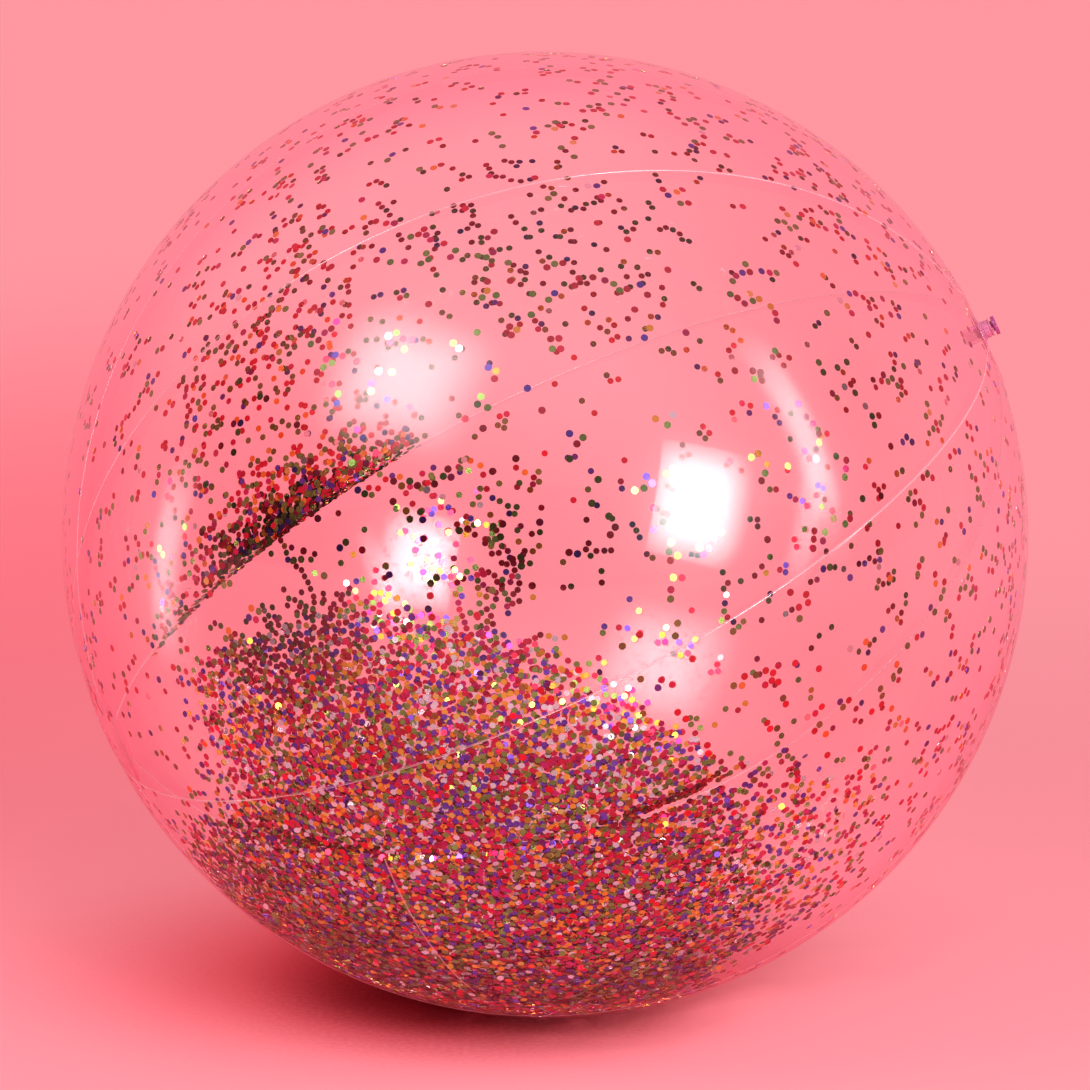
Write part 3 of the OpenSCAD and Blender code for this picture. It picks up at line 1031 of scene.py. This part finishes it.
def makeFloor(look):
    material, tree, output = startMaterial("pinkPaper")
    place = addNode(tree, "ShaderNodeTexCoord").outputs["Object"]
    away = addNode(tree, "ShaderNodeVectorMath", {0: place}, operation="LENGTH").outputs["Value"]
    fibre = addMath(tree, "MULTIPLY", objectNoise(tree, look["fibreScale"], look["fibreDetail"]),
                    look["fleck"])
    stretched = addNode(tree, "ShaderNodeVectorMath", {0: place, 1: look["paintedFarShadowStretch"]},
                        operation="MULTIPLY").outputs["Vector"]
    outer = spotShare(tree, stretched, look["paintedFarShadowSpot"], look["paintedFarShadowReach"], fibre)
    under = spotShare(tree, place, look["paintedUnderShadowSpot"], look["paintedUnderShadowReach"], fibre)
    paintedContactShade = spotShare(tree, place, look["paintedContactShadeSpot"], look["paintedContactShadeReach"], fibre)
    # painted shadows on the paper: deeper towards the ball's far shadow, then under the ball, then at its
    # contact
    colour = mixColours(tree, outer, look["deep"], look["colour"])
    # painted shadow under the ball
    colour = mixColours(tree, under, look["paintedUnderShadow"], colour)
    # painted contact shadow
    colour = mixColours(tree, paintedContactShade, look["paintedContactShade"], colour)
    bump = addNode(tree, "ShaderNodeBump", {
        "Strength": look["grainStrength"], "Distance": look["grainHeight"],
        "Height": objectNoise(tree, look["grainScale"])})
    path = addNode(tree, "ShaderNodeLightPath").outputs
    # painted shade: the paper seen in gloss near the ball is darker than the lit paper
    near = mixColours(tree, path["Is Glossy Ray"], colour, look["mirrored"])
    lit = addNode(tree, "ShaderNodeBsdfDiffuse", {"Color": near, "Normal": bump.outputs[0]})
    plain = addNode(tree, "ShaderNodeEmission", {"Color": colour, "Strength": 1.0})
    far = smoothRange(tree, away, look["nearLight"], look["farLight"])
    seen = addMath(tree, "MAXIMUM", path["Is Camera Ray"], path["Is Transmission Ray"])
    seen = addMath(tree, "MAXIMUM", seen, path["Is Glossy Ray"])
    mixed = addNode(tree, "ShaderNodeMixShader", {
        0: addMath(tree, "MULTIPLY", far, seen), 1: lit.outputs[0], 2: plain.outputs[0]})
    tree.links.new(mixed.outputs[0], output.inputs["Surface"])
    bm = bmesh.new()
    bmesh.ops.create_circle(bm, cap_ends=True, segments=look["sides"], radius=look["radius"])
    floor = makePiece(bm, "paperFloor", material, Matrix.Identity(4))


def fadeLamp(data, look):
    data.use_nodes = True
    tree = data.node_tree
    emission = next(n for n in tree.nodes if n.type == "EMISSION")
    across = addNode(tree, "ShaderNodeNewGeometry").outputs["Parametric"]
    sides = addNode(tree, "ShaderNodeSeparateXYZ", {0: across}).outputs
    fourths = [addMath(tree, "POWER", addMath(tree, "ABSOLUTE", addMath(tree, "SUBTRACT", side, middle)), 4.0)
               for side, middle in zip(sides, look["hot"])]
    away = addMath(tree, "POWER", addMath(tree, "ADD", *fourths), 0.25)  # a square with round corners
    level = addNode(tree, "ShaderNodeMapRange", {
        "Value": away, "From Min": look["core"], "From Max": look["edge"], "To Min": 1.0, "To Max": 0.0},
        interpolation_type="SMOOTHSTEP")
    tree.links.new(level.outputs[0], emission.inputs["Strength"])


def addSoftbox(look):
    data = bpy.data.lights.new(look["name"], "AREA")
    data.shape = "RECTANGLE"
    data.size, data.size_y = look["size"]
    fadeLamp(data, look)
    data.energy = look["radiance"] * 4 * data.size * data.size_y
    lamp = bpy.data.objects.new(look["name"], data)
    scene.collection.objects.link(lamp)
    lamp.location = ballCentre + Vector(look["direction"]).normalized() * look["distance"]
    turn = (ballCentre - lamp.location).to_track_quat("-Z", "Y").to_matrix()
    lamp.rotation_euler = (turn @ Matrix.Rotation(math.radians(look["roll"]), 3, "Z")).to_euler()
    lamp.visible_camera = False


softboxes = [  # hot is the brightest place across each box, which fades from core to edge
    {"name": "keySoftbox", "direction": (0.568, -0.779, 0.262), "distance": 1.69, "size": (0.64, 0.72),
     "radiance": 15.0, "hot": (0.42, 0.5), "core": 0.14, "edge": 0.62, "roll": -20},
    {"name": "upperSoftbox", "direction": (-0.49, -0.565, 0.662), "distance": 1.78, "size": (1.3, 1.1),
     "radiance": 6.8, "hot": (0.5, 0.5), "core": 0.05, "edge": 0.5, "roll": 0},
    {"name": "rightStrip", "direction": (0.316, -0.237, 0.168), "distance": 0.43, "size": (0.07, 0.34),
     "radiance": 5.8, "hot": (0.5, 0.5), "core": 0.05, "edge": 0.5, "roll": 8},
    {"name": "leftStrip", "direction": (-0.492, -0.076, -0.018), "distance": 0.498, "size": (0.10, 0.34),
     "radiance": 4.4, "hot": (0.5, 0.5), "core": 0.05, "edge": 0.5, "roll": -9},
]
room = {
    "backdrop": (1.0, 0.31, 0.355, 1),
    "darkSide": (0.105, 0.04, 0.045, 1),  # the room around the camera
    "frontCeiling": (0.88, 0.58, 0.65, 1),
    "midCeiling": (0.64, 0.37, 0.42, 1),
    "backCeiling": (0.98, 0.28, 0.39, 1),
    "lightFrom": (0.31, 0.18, 0.93),
    "light": (0.96, 0.92, 0.93, 1),  # the soft light from overhead
    "dim": (0.10, 0.05, 0.055, 1),
    "sideFade": (-0.05, 0.4),  # where each zone gives way to the next
    "frontFade": (-0.65, -0.3),
    "backFade": (-0.15, 0.15),
    "ceilingFade": (0.42, 0.68),
    "lightFade": (0.05, 0.95),
}


def makeWorld(look):
    world = bpy.data.worlds.new("studio")
    scene.world = world
    world.use_nodes = True
    tree = world.node_tree
    tree.nodes.clear()
    output = tree.nodes.new("ShaderNodeOutputWorld")
    path = addNode(tree, "ShaderNodeLightPath").outputs
    towards = addNode(tree, "ShaderNodeTexCoord").outputs["Generated"]
    sides = addNode(tree, "ShaderNodeSeparateXYZ", {0: towards}).outputs
    around = mixColours(tree, smoothRange(tree, sides["Y"], *look["sideFade"]),
                        look["darkSide"], look["backdrop"])
    ceiling = mixColours(tree, smoothRange(tree, sides["Y"], *look["frontFade"]),
                         look["frontCeiling"], look["midCeiling"])
    ceiling = mixColours(tree, smoothRange(tree, sides["Y"], *look["backFade"]), ceiling, look["backCeiling"])
    mirrored = mixColours(tree, smoothRange(tree, sides["Z"], *look["ceilingFade"]), around, ceiling)
    overhead = addNode(tree, "ShaderNodeVectorMath", {
        0: towards, 1: Vector(look["lightFrom"]).normalized()}, operation="DOT_PRODUCT").outputs["Value"]
    lighting = mixColours(tree, smoothRange(tree, overhead, *look["lightFade"]),
                          look["dim"], look["light"])
    surround = addNode(tree, "ShaderNodeBackground", {
        "Color": mixColours(tree, path["Is Glossy Ray"], lighting, mirrored), "Strength": 1.0})
    pale = addNode(tree, "ShaderNodeBackground", {"Color": look["backdrop"], "Strength": 1.0})
    seen = addMath(tree, "MAXIMUM", path["Is Camera Ray"], path["Is Transmission Ray"])
    mixed = addNode(tree, "ShaderNodeMixShader", {0: seen, 1: surround.outputs[0], 2: pale.outputs[0]})
    tree.links.new(mixed.outputs[0], output.inputs["Surface"])


makeFloor(paper)
makeWorld(room)
for box in softboxes:
    addSoftbox(box)
print("floor, lamps and surroundings made")
